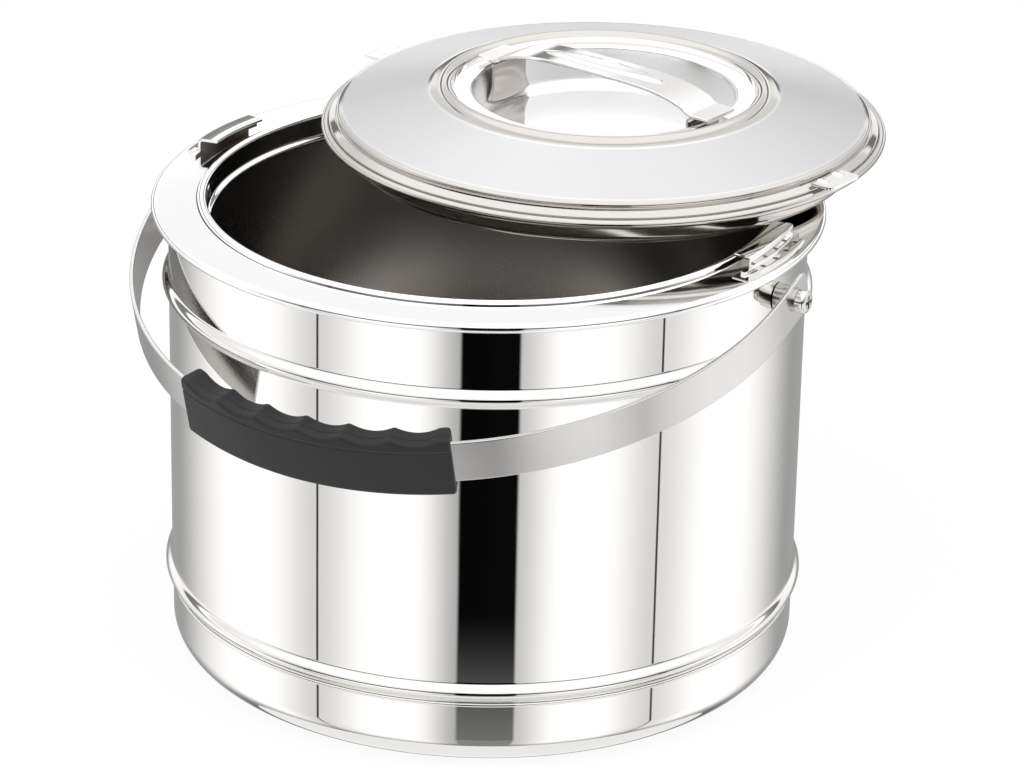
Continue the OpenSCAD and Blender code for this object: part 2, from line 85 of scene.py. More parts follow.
# A new node: its settings first, then its sockets, in order or by key
def make(tree, kind, *inputs, sockets=None, out=None, **settings):
    n = tree.nodes.new(kind)
    for key, value in settings.items():
        setattr(n, key, value)
    for socket, value in zip([s for s in n.inputs if s.enabled], inputs):
        link(tree, value, socket)
    for key, value in (sockets or {}).items():
        link(tree, value, n.inputs[key])
    if out is None:
        return Val(tree, next(s for s in n.outputs if s.enabled))
    return Val(tree, n.outputs[out])


def link(tree, value, socket):
    if isinstance(value, Val):
        tree.links.new(value.socket, socket)
    else:
        socket.default_value = value


def mixColour(tree, factor, a, b):
    colours = {0: factor, 6: a, 7: b}  # the colour sockets of a Mix node
    return make(tree, "ShaderNodeMix", sockets=colours, out=2, data_type="RGBA")


def noise(tree, where, scale, detail=3.0, rough=0.5):
    sockets = {"Vector": where, "Scale": scale, "Detail": detail, "Roughness": rough}
    return make(tree, "ShaderNodeTexNoise", sockets=sockets, out=0)


def split(tree, vector):
    first = make(tree, "ShaderNodeSeparateXYZ", vector)
    return [Val(tree, s) for s in first.socket.node.outputs]


# Distance and angle about an upright axis, and the height
def polar(tree, coords, x=0.0, y=0.0):
    px, py, pz = split(tree, coords)
    dx, dy = px - x, py - y
    return (dx * dx + dy * dy).maths("SQRT"), dy.maths("ARCTAN2", dx), pz


# Fine rings left by a polishing wheel
def wheelMarks(tree, r, a, z):
    where = make(tree, "ShaderNodeCombineXYZ", r * 2600.0, a * 5.0, z * 2600.0)
    return noise(tree, where, 1.0, 4.0, 0.6)


def newMaterial(name, metallic=1.0):
    m = bpy.data.materials.new(name)
    m.use_nodes = True
    tree = m.node_tree
    shader = tree.nodes["Principled BSDF"]
    shader.inputs["Metallic"].default_value = metallic
    return m, tree, shader, make(tree, "ShaderNodeTexCoord", out="Object")


def dress(tree, shader, colour, rough, height, strength):
    link(tree, colour, shader.inputs["Base Color"])
    link(tree, rough, shader.inputs["Roughness"])
    relief = {"Strength": strength, "Distance": 0.0002, "Height": height}
    link(tree, make(tree, "ShaderNodeBump", sockets=relief), shader.inputs["Normal"])


def times(colour, factor):
    return tuple(c * factor for c in colour[:3]) + (1.0,)


def polished(name, colour, rough, smudge=0.02):
    m, tree, shader, coords = newMaterial(name)
    cloud = noise(tree, coords, 22.0, 4.0, 0.6)
    hair = noise(tree, coords, 900.0, 2.0)
    base = mixColour(tree, cloud, times(colour, 0.97), colour)
    rough = rough + smudge * cloud.step(0.45, 0.75) + 0.004 * hair
    dress(tree, shader, base, rough, noise(tree, coords, 14.0, 1.0, 0.4), 0.25)
    return m


# Radii in metres: where each zone of the lid's cover starts and ends, for its finish and for the
# painted shade on the bead and rim
coverZones = dict(
    recessWall=(0.0498, 0.0506, 0.0548, 0.0560),
    bead=(0.0635, 0.0650, 0.0735, 0.0750),
    cone=(0.0735, 0.0755, 0.1095, 0.1115),
)


# The lid's cover: polished rim, bead and recess, and a satin cone between bead and rim; rim and
# bead take a darker colour as painted shade, and the cone has painted shade towards its right
def coverSteel(name, colour, rimBeadShadeColour, satinColour, x, y):
    m, tree, shader, coords = newMaterial(name)
    r, a, z = polar(tree, coords, x, y)
    rings = wheelMarks(tree, r, a, z)
    cloud = noise(tree, coords, 18.0, 3.0)
    satin = r.band(*coverZones["cone"])
    rightShade = (a + 0.2).maths("COSINE").clamp()  # painted shade: the cone is a little darker on the right
    ringsAndShade = (rings + rightShade * rightShade).clamp()
    satinRingsAndShade = mixColour(tree, ringsAndShade, satinColour, times(satinColour, 0.88))
    rimOrBead = (r.step(*coverZones["cone"][2:]) + r.band(*coverZones["bead"])).clamp()
    base = mixColour(tree, satin, mixColour(tree, rimOrBead, colour, rimBeadShadeColour), satinRingsAndShade)
    wall = r.band(*coverZones["recessWall"])
    rough = 0.05 + 0.03 * cloud + 0.4 * wall + satin * (0.2 + 0.1 * rings)
    dress(tree, shader, base, rough, satin * rings, 0.05)
    return m


# Metres, and the angles of the spot welds
catchZones = dict(slot=(0.1300, 0.1303), lip=(0.2028, 0.2032), welds=(2.15, 6.45), weldAt=0.1337)


# Rolled steel of a catch: painted shade inside the slot under the lip, and dark pressed spot welds
def catchSteel(name, colour, dark):
    m, tree, shader, coords = newMaterial(name)
    r, a, z = polar(tree, coords)
    px, py, pz = split(tree, coords)
    cloud = noise(tree, coords, 60.0, 3.0)
    # painted shade in the slot below the lip; the weld spots added below are real dark marks
    slotShadeAndWelds = (1 - r.step(*catchZones["slot"])) * (1 - z.step(*catchZones["lip"]))
    for angle in catchZones["welds"]:
        t = math.radians(angle)
        dx = px.maths("ABSOLUTE") - catchZones["weldAt"] * math.cos(t)
        dy = py.maths("ABSOLUTE") - catchZones["weldAt"] * math.sin(t)
        spot = 1 - (dx * dx + dy * dy).maths("SQRT").step(0.0010, 0.0014)
        slotShadeAndWelds = slotShadeAndWelds.maths("MAXIMUM", spot)
    base = mixColour(tree, slotShadeAndWelds, colour, dark)
    dress(tree, shader, base, 0.05 + 0.05 * cloud + 0.25 * slotShadeAndWelds, cloud, 0.1)
    return m


# The lid's underside: the plug under the pale flange is painted darker, as painted shade
def plugSteel(name, colour, dark):
    m, tree, shader, coords = newMaterial(name)
    z = split(tree, coords)[2]
    cloud = noise(tree, coords, 30.0, 3.0)
    base = mixColour(tree, z.step(0.2112, 0.2118), dark, colour)
    dress(tree, shader, base, 0.07 + 0.08 * cloud, cloud, 0.1)
    return m


# The bowl: polished seam and neck over a satin inside, which is painted darker as painted shade
def bowlSteel(name, colour, dark):
    m, tree, shader, coords = newMaterial(name)
    r, a, z = polar(tree, coords)
    rings = wheelMarks(tree, r, a, z)
    # painted shade: the inside below the neck takes the darker colour
    inside = 1 - z.step(0.1872, 0.1886)
    base = mixColour(tree, inside, colour, dark)
    dress(tree, shader, base, 0.04 + inside * (0.12 + 0.1 * rings), inside * rings, 0.05)
    return m


def plastic(name, colour, rough, grain=0.12):
    m, tree, shader, coords = newMaterial(name, metallic=0.0)
    fine = noise(tree, coords, 1400.0, 2.0)
    cloud = noise(tree, coords, 40.0, 3.0)
    base = mixColour(tree, cloud, colour, times(colour, 1.25))
    dress(tree, shader, base, rough + 0.12 * cloud, fine, grain)
    shader.inputs["Specular IOR Level"].default_value = 0.32
    return m


steel = (0.83, 0.82, 0.80, 1.0)
pale = (0.95, 0.95, 0.95, 1.0)
coverLook = dict(
    colour=pale,
    # the rim and bead colour is darker than the recess, as painted shade
    rimBeadShadeColour=(0.60, 0.58, 0.555, 1.0),
    satinColour=(0.71, 0.71, 0.72, 1.0),
    x=lid["x"] / 1000,
    y=lid["y"] / 1000,
)
mats = dict(
    mirror=polished("mirrorSteel", steel, 0.02),
    ring=polished("ringSteel", pale, 0.05, smudge=0.04),
    bowl=bowlSteel("bowlSteel", pale, (0.58, 0.56, 0.54, 1.0)),
    handle=polished("handleSteel", (0.80, 0.79, 0.78, 1.0), 0.06, smudge=0.05),
    wing=polished("wingSteel", (0.86, 0.85, 0.83, 1.0), 0.05, smudge=0.04),
    # the brackets' steel is coloured darker than the other steel, as painted shade under the handle
    leg=polished("legShadedSteel", (0.52, 0.49, 0.47, 1.0), 0.12, smudge=0.06),
    catch=catchSteel("catchSteel", (0.88, 0.87, 0.85, 1.0), (0.09, 0.07, 0.06, 1.0)),
    cover=coverSteel("lidCoverSteel", **coverLook),
    plug=plugSteel("plugSteel", steel, (0.60, 0.57, 0.53, 1.0)),
    strap=polished("strapSteel", (0.66, 0.65, 0.64, 1.0), 0.18, smudge=0.05),
    hardware=polished("hardwareSteel", (0.74, 0.73, 0.70, 1.0), 0.16, smudge=0.08),
    grip=plastic("gripPlastic", (0.013, 0.013, 0.0145, 1.0), 0.45),
    foam=plastic("foam", (0.80, 0.68, 0.36, 1.0), 0.8, grain=0.5),
)
print("materials made:", len(mats))


def arc(cx, cy, r, a0, a1, n=12):
    steps = [math.radians(a0 + (a1 - a0) * i / n) for i in range(n + 1)]
    return [(cx + r * math.cos(a), cy + r * math.sin(a)) for a in steps]


def ease(u):
    return u * u * (3 - 2 * u)


# How far a rounded edge of radius r falls back at the distance d from its end
def fallBack(d, r):
    return r - math.sqrt(max(r * r - (r - min(d, r)) ** 2, 0.0))


# The path moved by t to its right-hand side
def beside(path, t):
    def right(i):
        (x0, y0), (x1, y1) = path[i], path[i + 1]
        d = math.hypot(x1 - x0, y1 - y0)
        return (y1 - y0) / d, -(x1 - x0) / d

    moved = []
    for i, (x, y) in enumerate(path):
        a, b = right(max(i - 1, 0)), right(min(i, len(path) - 2))
        k = t / (1 + a[0] * b[0] + a[1] * b[1])
        moved.append((x + k * (a[0] + b[0]), y + k * (a[1] + b[1])))
    return moved


# Extra points just inside each long side, so that flat faces keep flat shading
def supported(loop, least=2.5, inset=0.35):
    out = []
    for (x0, y0), (x1, y1) in zip(loop, loop[1:] + loop[:1]):
        out.append((x0, y0))
        d = math.hypot(x1 - x0, y1 - y0)
        if d > least:
            for k in (inset / d, 1 - inset / d):
                out.append((x0 + k * (x1 - x0), y0 + k * (y1 - y0)))
    return out


def sheet(path):
    return supported(path + beside(path, sheetThick)[::-1])


def roundedBox(w, h, r, n=4):
    x, y, points = w / 2 - r, h / 2 - r, []
    for cx, cy, a in ((x, y, 0), (-x, y, 90), (-x, -y, 180), (x, -y, 270)):
        points += arc(cx, cy, r, a, a + 90, n)
    return supported(points, least=1.0, inset=0.1)


def newObject(name, verts, faces=(), edges=()):
    mesh = bpy.data.meshes.new(name)
    mesh.from_pydata([Vector(v) / 1000 for v in verts], edges, faces)
    obj = bpy.data.objects.new(name, mesh)
    scene.collection.objects.link(obj)
    return obj


def smooth(obj, angle=32.0):
    obj.data.shade_smooth()
    obj.data.set_sharp_from_angle(angle=math.radians(angle))
    return obj


def outward(obj):
    b = bmesh.new()
    b.from_mesh(obj.data)
    bmesh.ops.recalc_face_normals(b, faces=b.faces)
    b.to_mesh(obj.data)
    b.free()
    return obj


# The spin's circle has the radius hub; a profile point holds x = radius - hub and y = -height
hub = 100.0
spinSteps = 256


# Geometry Nodes: sweeps a closed profile round the Z axis
def spinGroup():
    tree = bpy.data.node_groups.new("spin", "GeometryNodeTree")
    face, kind = tree.interface, "NodeSocket"
    face.new_socket("Geometry", in_out="INPUT", socket_type=kind + "Geometry")
    sockets = {
        key: face.new_socket(key, in_out="INPUT", socket_type=kind + of).identifier
        for key, of in (("Steps", "Int"), ("Material", "Material"))
    }
    face.new_socket("Geometry", in_out="OUTPUT", socket_type=kind + "Geometry")
    given = tree.nodes.new("NodeGroupInput")
    geometry, steps, material = (Val(tree, given.outputs[i]) for i in range(3))
    profile = geometry.node("GeometryNodeMeshToCurve")
    sizes = {"Resolution": steps, "Radius": hub / 1000}
    circle = make(tree, "GeometryNodeCurvePrimitiveCircle", sockets=sizes, out=0)
    rail = circle.node("GeometryNodeSetCurveNormal", mode="Z_UP")
    curves = {"Curve": rail, "Profile Curve": profile}
    swept = make(tree, "GeometryNodeCurveToMesh", sockets=curves, out=0)
    real = swept.node("GeometryNodeRealizeInstances")
    paint = {"Geometry": real, "Material": material}
    painted = make(tree, "GeometryNodeSetMaterial", sockets=paint, out=0)
    link(tree, painted, tree.nodes.new("NodeGroupOutput").inputs[0])
    return tree, sockets


spinTree, spinSockets = spinGroup()


# Turns a Geometry Nodes object into a plain mesh
def baked(obj):
    bpy.context.view_layer.update()
    graph = bpy.context.evaluated_depsgraph_get()
    mesh = bpy.data.meshes.new_from_object(obj.evaluated_get(graph))
    obj.modifiers.clear()
    obj.data = mesh
    return obj


def spun(name, loop, material, place=None, angle=32.0):
    count = len(loop)
    verts = [(r - hub, -z, 0.0) for r, z in loop]
    obj = newObject(name, verts, edges=[(i, (i + 1) % count) for i in range(count)])
    m = obj.modifiers.new("spin", "NODES")
    m.node_group = spinTree
    m[spinSockets["Steps"]] = spinSteps
    m[spinSockets["Material"]] = material
    baked(obj)
    if place is not None:
        obj.data.transform(place)
    return smooth(outward(obj), angle)


# Solids with flat ends in one mesh, each through its own closed cross-sections
def lofted(name, material, place, *solids):
    verts, faces = [], []
    for sections in solids:
        start, n, rows = len(verts), len(sections[0]), len(sections)
        verts += [p for s in sections for p in s]
        for i in range(rows - 1):
            for j in range(n):
                k, row = (j + 1) % n, start + i * n
                faces.append((row + j, row + k, row + n + k, row + n + j))
        last = start + (rows - 1) * n
        faces += [tuple(range(start, start + n)), tuple(range(last, last + n))]
    obj = newObject(name, verts, faces)
    obj.data.transform(place)
    obj.data.materials.append(material)
    return smooth(outward(obj))


def upright(degrees):
    return Matrix.Rotation(math.radians(degrees), 4, "Z")


potPlace = Matrix.Identity(4)
lidPlace = Matrix.Translation(Vector((lid["x"], lid["y"], lid["z"])) / 1000) @ upright(lid["turn"])
bailTilt = Matrix.Rotation(math.radians(bail["dip"]), 4, "X")
bailPlace = Matrix.Translation((0, 0, bail["pivot"] / 1000)) @ bailTilt
halfTurn = upright(180)


def finished(obj, body, slotName, *replaced):
    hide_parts(*replaced)
    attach(obj, body)
    return obj


# Outer shell, from the top down
shell = dict(wall=133.0, beads=(163.8, 35.0), rise=2.74, half=4.1, top=194.2, foot=30.5)


def pressedBead(z, n=20):
    us = [1 - 2 * i / n for i in range(n + 1)]
    out = [shell["rise"] * math.cos(math.pi * u / 2) ** 1.5 for u in us]
    return [(shell["wall"] + d, z + u * shell["half"]) for u, d in zip(us, out)]


shellPath = [(shell["wall"], shell["top"])]
for z in shell["beads"]:
    shellPath += pressedBead(z)
shellPath.append((shell["wall"], shell["foot"]))
shellSheet = spun("shellSheet", sheet(shellPath), mats["mirror"], angle=40)
finished(shellSheet, "pot", "steel_sheet", "outer_shell")

# Base pan and the rolled lip above its joint
pan = dict(outer=132.7, inner=132.05, joint=43.5, top=30.5, step=1.4, edge=13.0)
lip = dict(r=132.75, z=29.35, round=0.9, points=16)
panPath = [(pan["inner"], pan["joint"]), (pan["inner"], pan["top"])]
panPath += [(pan["outer"], pan["top"] - pan["step"])]
panPath += arc(pan["outer"] - pan["edge"], pan["edge"], pan["edge"], 0, -90, 24) + [(0.01, 0.0)]
baseSheet = spun("baseSheet", sheet(panPath), mats["mirror"])
finished(baseSheet, "pot", "steel_sheet", "base_pan")
lipArc = arc(lip["r"], lip["z"], lip["round"], 0, 360 - 360 / lip["points"], lip["points"] - 1)
baseLip = spun("baseLip", lipArc, mats["mirror"])
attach(baseLip, "pot")

# Rim ring with a rolled edge that hangs over the shell
ring = dict(inner=121.3, top=198.0, roll=2.0, rollAt=138.0, hang=132.05, foot=190.0)
ringPath = [(ring["inner"], ring["top"]), (ring["inner"] + 0.3, ring["top"])]
ringPath += arc(ring["rollAt"], ring["top"] - ring["roll"], ring["roll"], 90, -90, 18)
ringPath += [(ring["hang"], ring["top"] - 2 * ring["roll"]), (ring["hang"], ring["foot"])]
ringSheet = spun("ringSheet", sheet(ringPath), mats["ring"])
finished(ringSheet, "pot", "steel_sheet", "rim_ring")

# Inner bowl: floor, wall, a wider neck and the seam bead on the ring
bowl = dict(floor=27.0, wall=115.0, corner=20.0, neck=117.0, top=198.0, seam=2.0)
bowl.update(wallTop=187.8, stepFoot=188.6, stepHigh=2.2, neckTop=197.6)
bowlPath = [(0.01, bowl["floor"])]
bowlPath += arc(
    bowl["wall"] - bowl["corner"], bowl["floor"] + bowl["corner"], bowl["corner"], -90, 0, 20
)
bowlPath.append((bowl["wall"], bowl["wallTop"]))
for i in range(9):
    wide = (bowl["neck"] - bowl["wall"]) * ease(i / 8)
    bowlPath.append((bowl["wall"] + wide, bowl["stepFoot"] + bowl["stepHigh"] * i / 8))
bowlPath.append((bowl["neck"], bowl["neckTop"]))
bowlPath += arc(bowl["neck"] + bowl["seam"], bowl["top"], bowl["seam"], 180, -40, 24)
bowlSheet = spun("bowlSheet", sheet(bowlPath), mats["bowl"])
finished(bowlSheet, "pot", "steel_sheet", "inner_bowl")
print("pot made")

# Bail strap; cut is the section, counted along its arc, at the grip's left end
strap = dict(corner=4.0, edge=0.45, arcSteps=144, cut=90)


def strapWidth(fromEnd):
    return bail["width"] - 2 * fallBack(fromEnd, strap["corner"])


def strapFrames():
    mid, side, tail = bail["inner"] + bail["thick"] / 2, bail["side"], bail["tail"]
    ends = [0.02, 0.15, 0.4, 0.8, 1.4, 2.2, 3.1, 4.0]
    straight = [tail - e for e in ends] + [2.0, 0.0, -4.0, -9.0, -12.5]
    rightSide = [((mid, y), (1.0, 0.0), tail - y) for y in straight]
    leftSide = [((-x, y), (-dx, dy), e) for (x, y), (dx, dy), e in rightSide[::-1]]
    front = []
    for i in range(strap["arcSteps"] + 1):
        a = math.radians(-180 * i / strap["arcSteps"])
        dx, dy = math.cos(a), math.sin(a)
        front.append(((mid * dx, -side + mid * dy), (dx, dy), math.inf))
    return rightSide, front, leftSide


rightSide, front, leftSide = strapFrames()
strapSections = []
for (x, y), (dx, dy), fromEnd in rightSide + front + leftSide:
    section = roundedBox(bail["thick"], strapWidth(fromEnd), strap["edge"])
    strapSections.append([(x + u * dx, y + u * dy, v) for u, v in section])
# Two pieces that meet inside the grip; only the left one shows in the wall's reflections
cut = len(rightSide) + strap["cut"]
strapRight = lofted("strapRight", mats["strap"], bailPlace, strapSections[: cut + 1])
strapLeft = lofted("strapLeft", mats["strap"], bailPlace, strapSections[cut:])
finished(strapLeft, "bail", "steel_sheet", "bail_strap")
finished(strapRight, "bail", "steel_sheet", "bail_strap")
strapRight.visible_glossy = nodes["grip_screws"].visible_glossy = False

# Grip: two halves about the strap, with finger hollows along the top
grip = dict(half=25.0, low=-14.1, top=12.9, corner=2.0, end=1.4, seam=141.5)
grip.update(inner=135.1, outer=145.59, wall=3.1, play=0.15, split=0.08, chamfer=0.3)
grip.update(hollows=6, pitch=7.8125, depth=2.6, soft=0.35)
grip.update(lineLow=6.2, lineTop=7.6, lineEdge=0.4, lineDeep=0.35)
pitchHalf = grip["seam"] * math.sin(math.radians(grip["pitch"] / 2))
grip["valley"] = (pitchHalf**2 + grip["depth"] ** 2) / (2 * grip["depth"])


def gripTop(angle):
    g, deep = grip, 0.0
    for i in range(g["hollows"]):
        u = g["seam"] * math.radians(angle - g["pitch"] * (i - (g["hollows"] - 1) / 2))
        if abs(u) < g["valley"]:
            deep = max(deep, g["depth"] - g["valley"] + math.sqrt(g["valley"] ** 2 - u * u))
    return g["top"] - math.hypot(deep, g["soft"]) + g["soft"]


def gripSection(half, top, inset):
    g, c, b = grip, grip["corner"], grip["chamfer"]
    low, hi = g["low"] + inset, top - inset
    channel = bail["width"] / 2 + g["play"]
    if half == "inner":
        r0, r1, pocket = g["inner"] + inset, g["seam"] - g["split"], bail["inner"] - g["play"]
        points = [(r1, -channel), (pocket, -channel), (pocket, channel), (r1, channel)]
        points += [(r1, hi - b), (r1 - b, hi)] + arc(r0 + c, hi - c, c, 90, 180, 6)
        return points + arc(r0 + c, low + c, c, 180, 270, 6) + [(r1 - b, low), (r1, low + b)]
    r0, r1, pocket = g["seam"] + g["split"], g["outer"] - inset, g["outer"] - g["wall"]
    line, edge, deep = (g["lineLow"], g["lineTop"]), g["lineEdge"], r1 - g["lineDeep"]
    points = [(r0, channel), (pocket, channel), (pocket, -channel), (r0, -channel)]
    points += [(r0, low + b), (r0 + b, low)] + arc(r1 - c, low + c, c, -90, 0, 6)
    points += [(r1, line[0]), (deep, line[0] + edge), (deep, line[1] - edge), (r1, line[1])]
    return points + arc(r1 - c, hi - c, c, 0, 90, 6) + [(r0 + b, hi), (r0, hi - b)]


def gripMesh(name, half):
    g = grip
    reach = math.radians(g["half"]) * g["seam"]
    ends, middle = [0.0, 0.1, 0.3, 0.6, 1.0, g["end"]], 2 * (reach - g["end"])
    spots = [e - reach for e in ends]
    spots += [g["end"] - reach + middle * i / 190 for i in range(1, 190)]
    spots += [reach - e for e in ends[::-1]]
    sections = []
    for s in spots:
        inset = fallBack(reach - abs(s), g["end"])
        angle = math.degrees(s / g["seam"])
        a = math.radians(angle - 90)
        outline = gripSection(half, gripTop(angle), inset * 0.7)
        sections.append(
            [(r * math.cos(a), r * math.sin(a) - bail["side"], n) for r, n in outline]
        )
    return lofted(name, mats["grip"], bailPlace, sections)


for name, half in (("gripOuterShell", "outer"), ("gripInnerShell", "inner")):
    finished(gripMesh(name, half), "bail", "grip_plastic", "grip_" + half).visible_glossy = False
print("bail made")

# Lid cover, from its middle outwards: recess, ledge, bead, cone, stepped rim, rolled flange
recess = dict(floor=12.0, corner=4.0, cornerAt=50.303, lean=6)
ledge = dict(start=57.0, round=1.5, z=28.6, end=63.4)
bead = dict(x=67.6, z=28.4, round=3.4, angles=(160, 25))
cone = [(73.2, 29.6), (74.5, 29.2)]
rim = dict(
    shoulder=(111.6, 18.9, 1.5, 75, -35, 10),
    step=(112.4, 17.4),
    hollow=(113.2, 16.4, 0.8, 90, 40, 4),
    shelf=(115.6, 14.9, 0.7, 40, -60, 6),
    groove=(115.7, 14.3),
    roll=(117.6, 12.9, 1.9, 140, -90, 22),
    underside=(109.0, 11.0),
)
coverPath = [(0.01, recess["floor"])]
coverPath += arc(
    recess["cornerAt"],
    recess["floor"] + recess["corner"],
    recess["corner"],
    -90,
    -recess["lean"],
    14,
)
ledgeTurn = (180 - recess["lean"], 90, 8)
coverPath += arc(ledge["start"], ledge["z"] - ledge["round"], ledge["round"], *ledgeTurn)
coverPath += [(ledge["end"], ledge["z"])]
coverPath += arc(bead["x"], bead["z"], bead["round"], *bead["angles"], 22) + cone
coverPath += arc(*rim["shoulder"]) + [rim["step"]] + arc(*rim["hollow"]) + arc(*rim["shelf"])
coverPath += [rim["groove"]] + arc(*rim["roll"]) + [rim["underside"]]
coverSheet = spun("coverSheet", sheet(coverPath), mats["cover"], place=lidPlace)
finished(coverSheet, "lid", "lid_steel", "lid_cover")

# Lid liner: a flange over the plug
liner = dict(edge=117.6, flange=11.9, plug=107.5, corner=3.5)
plugCorner = arc(liner["plug"] - liner["corner"], liner["corner"], liner["corner"], 0, -90, 12)
linerPath = [(liner["edge"], liner["flange"]), (liner["plug"], liner["flange"])]
linerPath += plugCorner + [(0.01, 0.0)]
linerSheet = spun("linerSheet", sheet(linerPath), mats["plug"], place=lidPlace)
finished(linerSheet, "lid", "steel_sheet", "lid_liner")

# Lid handle: a bowed strap on two tabs, with a raised rib
handle = dict(width=20.0, thick=1.5, rise=7.1, inner=51.5, end=61.5, tabs=30.5, corner=2.0)
handle.update(ribHalf=29.0, ribWide=4.6, ribHigh=1.0)


def bow(x):
    u = min(abs(x) / handle["inner"], 1.0)
    return handle["rise"] * (1 - u**4 * 0.92) * (1.0 if u < 1 else 0.0)


def bowPath():
    end, reach = handle["end"], handle["inner"] * 0.93
    inner = [(reach * (i / 60 - 1), bow(reach * (i / 60 - 1))) for i in range(121)]
    x1, z1 = inner[0]
    tab = [(-end, 0.0), (0.5 - end, 0.0), (-52.6, 0.0), (-51.9, 0.06), (-51.2, 0.4)]
    tab.append((x1 - 1.4, z1 - 1.25))
    return tab + inner + [(-x, z) for x, z in tab[::-1]]


def rib(x, y):
    u = (x / handle["ribHalf"]) ** 2 + (y / handle["ribWide"]) ** 2
    return handle["ribHigh"] * ease(max(0.0, min(1.0, (1.25 - u) * 1.6)))


def handleSections():
    h, path, out = handle, bowPath(), []
    for i, (x, z) in enumerate(path):
        (xa, za), (xb, zb) = path[max(i - 1, 0)], path[min(i + 1, len(path) - 1)]
        d = math.hypot(xb - xa, zb - za)
        nx, nz = -(zb - za) / d, (xb - xa) / d
        w = h["width"] / 2 - fallBack(h["end"] - abs(x), h["corner"])
        ys = [w * k / 16 for k in range(-16, 17)]
        ys[0], ys[-1] = -w + 0.25, w - 0.25
        low = [(y, rib(x, y)) for y in ys]
        top = [(y, h["thick"] + rib(x, y)) for y in ys[::-1]]
        loop = low + [(w, 0.3), (w, h["thick"] - 0.3)] + top
        loop += [(-w, h["thick"] - 0.3), (-w, 0.3)]
        out.append([(x + v * nx, y, h["tabs"] + z + v * nz) for y, v in loop])
    return out


handleStrap = lofted("handleStrap", mats["handle"], lidPlace, handleSections())
finished(handleStrap, "lid", "lid_steel", "lid_handle")
print("lid made")

# Catches: a riser with a flange below and a sloping lip above, and a small foot at each end
catch = dict(half=8.6, foot=2.4, inner=122.3, riser=130.0, flange=136.2, base=198.0)
catch.update(lip=203.1, thick=1.2, ramp=2.2, round=0.35, bend=0.8, weldLine=133.2)


def turnedTo(points, degrees):
    a = math.radians(degrees)
    return [(r * math.cos(a), r * math.sin(a), z) for r, z in points]


def catchSection(angle):
    c, k, b = catch, catch["round"], catch["bend"]
    slope = math.sin(math.radians(angle)) * math.tan(math.radians(c["ramp"]))
    under = c["lip"] + c["riser"] * slope
    top, low, out = under + c["thick"], c["base"] + c["thick"], c["riser"] + c["thick"]
    points = [(c["flange"], c["base"])] + arc(c["flange"] - k, low - k, k, 0, 90, 3)
    points += [(c["weldLine"], low)] + arc(out + b, low + b, b, 270, 180, 4)
    points += [(out, under - 0.6)] + arc(out - 1.2, top - 1.2, 1.2, 0, 90, 6) + [(126.0, top)]
    points += arc(c["inner"] + k, top - k, k, 90, 180, 3)
    points += arc(c["inner"] + k, under + k, k, 180, 270, 3)
    return points + arc(c["riser"] - 0.5, under - 0.5, 0.5, 90, 0, 3) + [(c["riser"], c["base"])]


def catchMesh(name, place):
    c = catch
    angles = [-c["half"] + 2 * c["half"] * i / 24 for i in range(25)]
    solids = [[turnedTo(catchSection(a), a) for a in angles]]
    foot = roundedBox(2.4, c["thick"], 0.25)
    outline = [(c["riser"] + 1.2 + u, c["base"] + c["thick"] - 0.6 + v) for u, v in foot]
    for sign in (-1, 1):
        turns = [sign * (c["half"] + 0.02 + c["foot"] * i / 6) for i in range(7)]
        solids.append([turnedTo(outline, t) for t in turns])
    return lofted(name, mats["catch"], place, *solids)


finished(catchMesh("catchRight", potPlace), "pot", "steel_sheet", "catch_right")
finished(catchMesh("catchLeft", halfTurn), "pot", "steel_sheet", "catch_left")

# Wings: flat plates on the step of the rim, each with two short ribs
wing = dict(inner=114.6, tip=125.0, half=10.5, corner=2.5, low=16.643, thick=1.2, edge=0.3)
wing.update(ribs=(-5.25, 5.25), ribEnd=119.5, ribHalf=1.5, ribHigh=0.8)


def wingTop(s, y, drop):
    w, x = wing, wing["inner"] + s
    ends = min(1.0, max(0.0, s / 0.6)) * min(1.0, max(0.0, (w["ribEnd"] - x) / 0.6))
    across = [math.sqrt(max(0.0, 1 - ((y - at) / w["ribHalf"]) ** 2)) for at in w["ribs"]]
    rise = w["ribHigh"] * max(across) * math.sqrt(ends)
    return x, y, w["low"] + w["thick"] - drop + rise


def wingSections():
    w, out = wing, []
    spots = [0, 0.1, 0.3, 0.8, 1.6, 2.6, 3.6, 4.3, 4.7, 4.9, 5.2]
    spots += [6.0, 7.0, 7.9, 8.4, 8.9, 9.4, 9.8, 10.1, 10.3, 10.4]
    low, high = w["low"] + w["edge"], w["low"] + w["thick"] - w["edge"]
    for s in spots:
        x = w["inner"] + s
        d = min(w["tip"] - x, w["corner"])
        squared = max(w["corner"] ** 2 - (w["corner"] - d) ** 2, 0.04)
        half = w["half"] - w["corner"] + math.sqrt(squared)
        drop = fallBack(min(s, w["tip"] - x), w["edge"])
        ys = [half * k / 40 for k in range(-40, 41)]
        ys[0], ys[-1] = -half + 0.1, half - 0.1
        top = [wingTop(s, y, drop) for y in ys]
        under = [(x, half - 0.3, w["low"] + drop), (x, 0.3 - half, w["low"] + drop)]
        sides = [(x, half, high), (x, half, low)], [(x, -half, low), (x, -half, high)]
        out.append(top + sides[0] + under + sides[1])
    return out


for side, place in (("Right", lidPlace), ("Left", lidPlace @ halfTurn)):
    plate = lofted("wing" + side, mats["wing"], place, wingSections())
    finished(plate, "lid", "steel_sheet", "lid_wing_" + side.lower())

# Handle brackets: upright plates from the recess's floor to the handle's tabs
leg = dict(x=51.0, thick=1.2, top=30.2, topHalf=11.0, footHalf=14.0, edge=0.25)
leg.update(shoulder=22.6, flare=2.2, gap=0.3, middle=22.0)


# Height of the recess's surface at the radius r
def dish(r):
    c, over = recess["corner"], r - recess["cornerAt"]
    if over < 0:
        return recess["floor"]
    return recess["floor"] + c - math.sqrt(max(c * c - over**2, 0.0))


